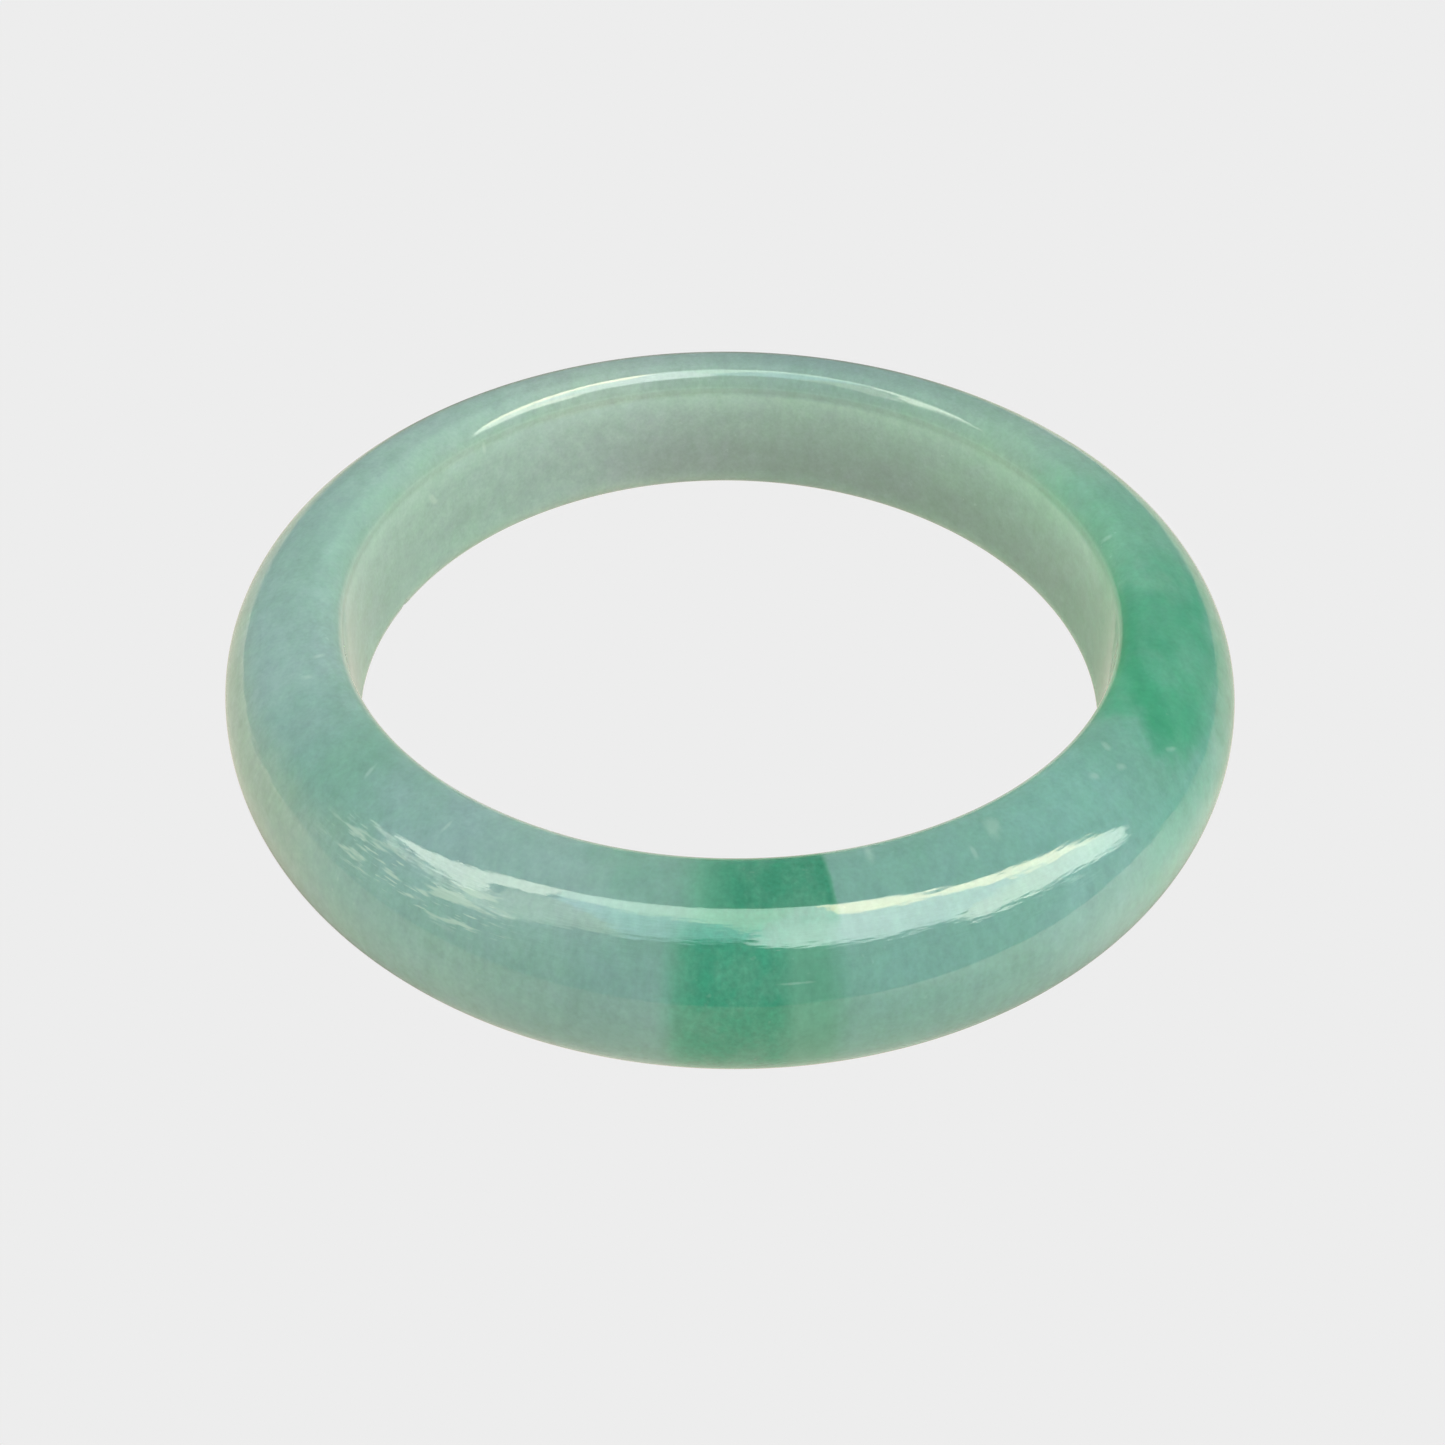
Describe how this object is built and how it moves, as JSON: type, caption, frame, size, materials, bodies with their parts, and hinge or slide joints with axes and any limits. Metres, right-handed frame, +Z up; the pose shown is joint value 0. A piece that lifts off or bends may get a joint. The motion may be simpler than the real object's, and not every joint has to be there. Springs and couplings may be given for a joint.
{
  "type": "bangle bracelet",
  "caption": "Closed ring bangle carved from a single piece of jade, with a domed outer face and a straight inner wall that slides over the hand.",
  "frame": {"origin": "centre of the wrist hole, in the plane of the lower flat on which the ring rests", "axes": "+Z up along the axis of the wrist hole; +X to the right and +Y to the back, across the ring; the green vein crosses the band at -Y"},
  "size_m": [0.073, 0.073, 0.0126],
  "materials": {
    "jade": "polished"
  },
  "bodies": {
    "root": {"bangle_ring": "jade"}
  },
  "joints": []
}
